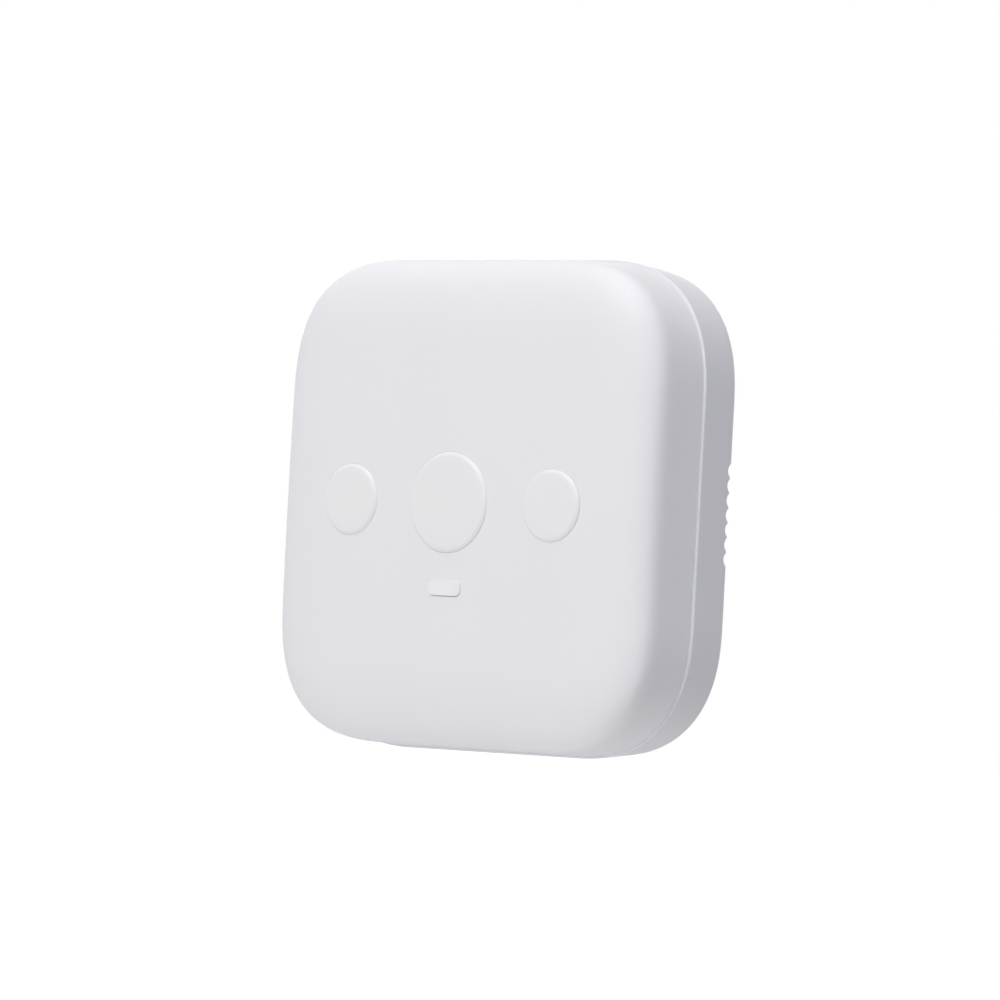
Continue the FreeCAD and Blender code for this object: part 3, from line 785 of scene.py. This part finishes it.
bm = bmesh.new()
bmesh.ops.create_uvsphere(bm, u_segments=256, v_segments=128, radius=dish_radius)
bmesh.ops.rotate(bm, verts=bm.verts, cent=(0, 0, 0), matrix=Matrix.Rotation(math.pi / 2, 3, "X"))
bmesh.ops.translate(bm, verts=bm.verts, vec=(0, dish_radius - dish_depth, dish_height))
carve(door, [new_piece("dish", bm)])
ridges = []
for i in range(ridge_count):
    z = dish_height + (i - (ridge_count - 1) / 2) * ridge_pitch
    ridges.append(block("ridge", -ridge_length / 2, ridge_length / 2, 0, plate_thickness / 2,
                        z - ridge_half, z + ridge_half, ridge_edge))
carve(door, ridges, "UNION")
# The door takes the rear shell's greyer white, which carries the same painted shade.
dress(door, rear_plastic_painted_shade, "battery_door", "shell_plastic", "battery_door")


# The cells are three ordinary AAA cells: a drawn steel can with a raised cap at one end, a dark
# insulating ring round it, and a plain film jacket shrunk over the can and its rolled ends.
cell_length = 44.5 * mm
cell_depth = 7.45 * mm
cell_tip = 23.85 * mm
cell_heights = (-6.5 * mm, -17.4 * mm, -28.3 * mm)
cap_band = 9.0 * mm
band_edge = 0.05 * mm
film_radius = 4.75 * mm
film_start = 0.02 * mm
film_end = 43.4 * mm
ring_radius = 2.3 * mm
ring_start = 40.0 * mm
cell_profile = [
    (0, 0.1), (3.1, 0.1), (3.4, 0.3), (4.4, 0.3), (4.6, 0.05), (4.95, 0.0), (5.15, 0.12),
    (5.25, 0.4), (5.25, 1.6), (5.25, 34.8), (5.25, 42.7), (5.2, 43.0), (5.0, 43.2), (4.6, 43.2),
    (4.4, 42.95), (2.5, 42.95), (2.2, 43.1), (1.9, 43.35), (1.9, 44.2), (1.75, 44.42),
    (1.5, 44.5), (0, 44.5)]


def bare_metal(name, colour, roughness, streaks):
    """Bare or plated metal, its sheen drawn out along X in fine streaks."""
    material, nodes, links, shader, place = new_finish(name)
    shader.inputs["Metallic"].default_value = 1.0
    stretch = nodes.new("ShaderNodeMapping")
    stretch.inputs["Scale"].default_value = (1 / streaks, 1, 1)
    links.new(place, stretch.inputs["Vector"])
    grain = clouds(nodes, links, stretch.outputs["Vector"], 2500.0)
    sheen = ranged(nodes, links, grain, roughness - 0.08, roughness + 0.08)
    links.new(sheen, shader.inputs["Roughness"])
    tone = blended(nodes, links, grain, toned(colour, 0.9), toned(colour, 1.1))
    links.new(tone, shader.inputs["Base Color"])
    return material


def film_jacket(name, middle, side):
    """Shrunk film: a dark body colour and a pale band towards the cell's raised cap."""
    material, nodes, links, shader, place = new_finish(name)
    shader.inputs["Metallic"].default_value = 0.35
    shader.inputs["Coat Weight"].default_value = 0.6
    shader.inputs["Coat Roughness"].default_value = 0.28
    split = nodes.new("ShaderNodeSeparateXYZ")
    links.new(place, split.inputs["Vector"])
    edge = side * (middle + cell_length / 2 - cap_band)
    band = ranged(nodes, links, split.outputs["X"], 0.0, 1.0,
                  edge - side * band_edge, edge + side * band_edge)
    grain = clouds(nodes, links, place, 900.0)
    body = blended(nodes, links, grain, (0.018, 0.085, 0.06), (0.03, 0.12, 0.09))
    colour = blended(nodes, links, band, body, (0.62, 0.63, 0.62))
    links.new(colour, shader.inputs["Base Color"])
    links.new(ranged(nodes, links, grain, 0.30, 0.40), shader.inputs["Roughness"])
    return material


plated = bare_metal("plated_steel", (0.72, 0.72, 0.70), 0.38, 12)
ring_black = moulded_plastic("insulating_ring", (0.02, 0.02, 0.022), 0.55, 0.1)
for number, height in enumerate(cell_heights, 1):
    side = 1 if number % 2 else -1
    bm = bmesh.new()
    verts = [bm.verts.new((reach * mm, 0, radius * mm)) for radius, reach in cell_profile]
    edges = [bm.edges.new(pair) for pair in zip(verts, verts[1:])]
    bmesh.ops.spin(bm, geom=verts + edges, cent=(0, 0, 0), axis=(1, 0, 0), angle=math.tau,
                   steps=72, use_merge=True)
    bmesh.ops.remove_doubles(bm, verts=bm.verts, dist=weld)
    film, can, ring = range(3)
    for face in bm.faces:
        middle = face.calc_center_median()
        radius = math.hypot(middle.y, middle.z)
        if radius > film_radius and film_start < middle.x < film_end:
            face.material_index = film
        elif radius > ring_radius and middle.x > ring_start:
            face.material_index = ring
        else:
            face.material_index = can
    bmesh.ops.translate(bm, verts=bm.verts, vec=(cell_tip - cell_length, 0, 0))
    bmesh.ops.scale(bm, verts=bm.verts, vec=(side, 1, 1))
    bmesh.ops.translate(bm, verts=bm.verts, vec=(0, -cell_depth, height))
    bmesh.ops.recalc_face_normals(bm, faces=bm.faces)
    cell = new_piece("cell_" + str(number), bm)
    jacket = film_jacket("film_jacket_" + str(number), cell_tip - cell_length / 2, side)
    for finish in (jacket, plated, ring_black):
        cell.data.materials.append(finish)
    dress(cell, None, "case", "cell_jacket", "battery_cell_" + str(number))


# Four zinc-plated pan-head screws with a cross recess hold the rear shell to the front one. They
# sit at the bottom of the deep wells in the rear corners.
head_radius = 1.9 * mm
head_height = 1.5 * mm
head_dip = 0.05 * mm
shank_radius = 1.1 * mm
screw_length = 11.5 * mm
thread_pitch = 0.45 * mm
thread_depth = 0.2 * mm
tip_length = 1.0 * mm
tip_radius = 0.4 * mm
recess_depth = 0.8 * mm
recess_half = 0.28 * mm
recess_reach = 1.05 * mm
head_top = screw_well_depth - head_height
screw_tip = screw_well_depth + screw_length
zinc = bare_metal("screw_steel", (0.45, 0.45, 0.46), 0.38, 1)
screws = []
for x, z in screw_places:
    profile = [(0, head_top), (head_radius * 0.55, head_top + head_dip)]
    for i in range(6):
        angle = math.pi / 2 * i / 5
        profile.append((head_radius * (0.7 + 0.3 * math.sin(angle)),
                        head_top + head_height * (0.1 + 0.6 * (1 - math.cos(angle)))))
    profile += [(head_radius, screw_well_depth), (shank_radius, screw_well_depth)]
    for i in range(int((screw_length - tip_length) / thread_pitch)):
        start = screw_well_depth + thread_depth + i * thread_pitch
        profile += [(shank_radius - thread_depth, start), (shank_radius, start + thread_pitch / 2)]
    profile += [(tip_radius, screw_tip - thread_depth), (0, screw_tip)]
    screw = turned("screw", x, z, profile, steps=32)
    carve(screw, [
        block("recess", x - across, x + across, head_top - past, head_top + recess_depth,
              z - upward, z + upward)
        for across, upward in ((recess_reach, recess_half), (recess_half, recess_reach))])
    screws.append(screw)
all_screws = gathered("case_screws", screws)
dress(all_screws, zinc, "case", "screw_steel", "housing_screws")


# The board is green glass laminate. It and what is soldered to it keep their solids from the
# frame: black moulded chips and switches, tinned shields, dark lamps and small ceramic chips.
def laminate(name):
    """Solder resist over a copper pattern that shows faintly through it."""
    material, nodes, links, shader, place = new_finish(name)
    shader.inputs["Coat Weight"].default_value = 0.4
    shader.inputs["Roughness"].default_value = 0.35
    tracks = nodes.new("ShaderNodeTexVoronoi")
    tracks.feature = "DISTANCE_TO_EDGE"
    tracks.distance = "MANHATTAN"
    tracks.inputs["Scale"].default_value = 420.0
    links.new(place, tracks.inputs["Vector"])
    share = ranged(nodes, links, tracks.outputs["Distance"], 0.0, 1.0, 0.04, 0.08)
    colour = blended(nodes, links, share, (0.03, 0.20, 0.08), (0.012, 0.11, 0.045))
    links.new(colour, shader.inputs["Base Color"])
    return material


def resin(name, colour, clearness):
    """Cast resin with a few soft clouds in it."""
    material = moulded_plastic(name, colour, 0.15, 0.02)
    shader = material.node_tree.nodes["Principled BSDF"]
    shader.inputs["Transmission Weight"].default_value = clearness
    return material


finishes = {
    "board_laminate": laminate("board_laminate"),
    "led_package": resin("lamp_package", (0.85, 0.80, 0.58), 0.2),
    "emitter_resin": resin("dark_lamp_resin", (0.10, 0.08, 0.15), 0.5),
    "chip_black": moulded_plastic("chip_epoxy", (0.02, 0.02, 0.02), 0.5, 0.3),
    "chip_ceramic": moulded_plastic("chip_ceramic", (0.50, 0.40, 0.30), 0.45, 0.1),
    "switch_black": moulded_plastic("switch_black", (0.03, 0.03, 0.033), 0.45, 0.15),
    "plated_steel": plated,
    "can_aluminium": bare_metal("can_aluminium", (0.75, 0.76, 0.78), 0.38, 1),
    "screw_steel": zinc,
}
for part in frame["record"]["subparts"]:
    if part["material_slot"] in finishes:
        solid = frame["nodes"][part["node"]]
        solid.data.materials.clear()
        solid.data.materials.append(finishes[part["material_slot"]])
